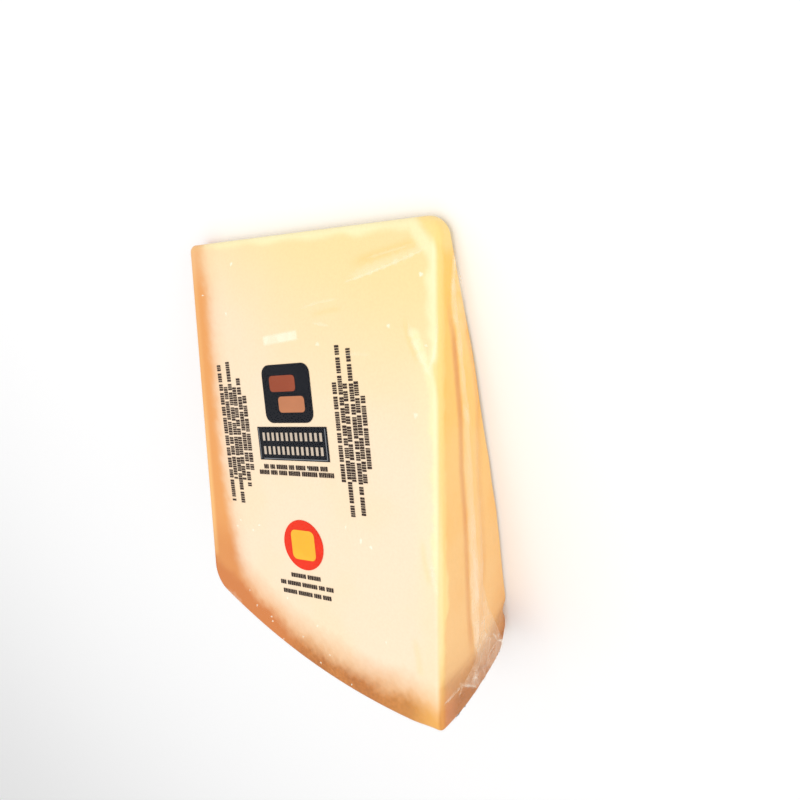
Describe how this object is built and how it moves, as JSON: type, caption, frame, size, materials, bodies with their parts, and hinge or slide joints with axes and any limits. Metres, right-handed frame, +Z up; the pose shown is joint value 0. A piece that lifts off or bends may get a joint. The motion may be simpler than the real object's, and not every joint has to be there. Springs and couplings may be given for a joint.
{
  "type": "parmesan chunk",
  "caption": "Wedge of aged hard cheese cut from half a wheel, rind on two sides, shrunk in clear film with a printed face and a seam.",
  "frame": {"origin": "centre of the bounding box, at the surface that the rear cut face lies on", "axes": "+Z up out of the supporting surface; +Y from the rim rind to the thin tip; +X from the flat rind to the cut through the middle of the wheel"},
  "size_m": [0.1256, 0.1868, 0.0656],
  "materials": {
    "cheese": "dense cream to straw-yellow paste, browner towards the rind, satin under shrunk clear film",
    "film": "clear shrunk food film, glossy, with creases, a flat seam and one gathered corner",
    "print": "ink printed on the film, plain fields of black, red and yellow"
  },
  "bodies": {
    "root": {"cheese_pack": "cheese"}
  },
  "joints": []
}
